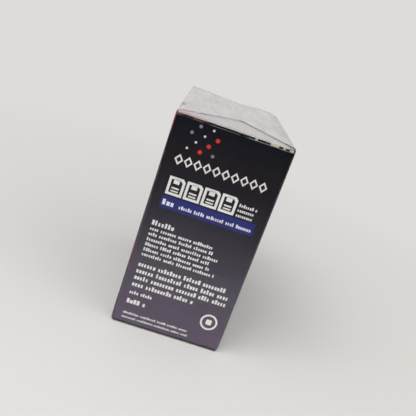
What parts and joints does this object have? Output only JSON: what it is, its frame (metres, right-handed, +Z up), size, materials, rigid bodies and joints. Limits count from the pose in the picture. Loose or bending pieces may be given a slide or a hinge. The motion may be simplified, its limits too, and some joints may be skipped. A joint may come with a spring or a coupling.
{
  "type": "diskette carton",
  "caption": "Sealed card carton of 3.5 inch floppy disks with glued ends and a perforated fold, wrapped in clear film folded like an envelope at both ends. One upper corner is dented.",
  "frame": {"origin": "middle of the face that the pack stands on", "axes": "+Z up, -Y out of the narrow face that the picture shows, +X to that face's right"},
  "size_m": [0.05, 0.0964, 0.0999],
  "materials": {
    "printed_board": "coated printed board, near black at the top and plum grey at the bottom",
    "clear_film": "clear glossy film, crinkled over the top"
  },
  "bodies": {
    "root": {"carton": "printed_board", "film_wrap": "clear_film"}
  },
  "joints": []
}
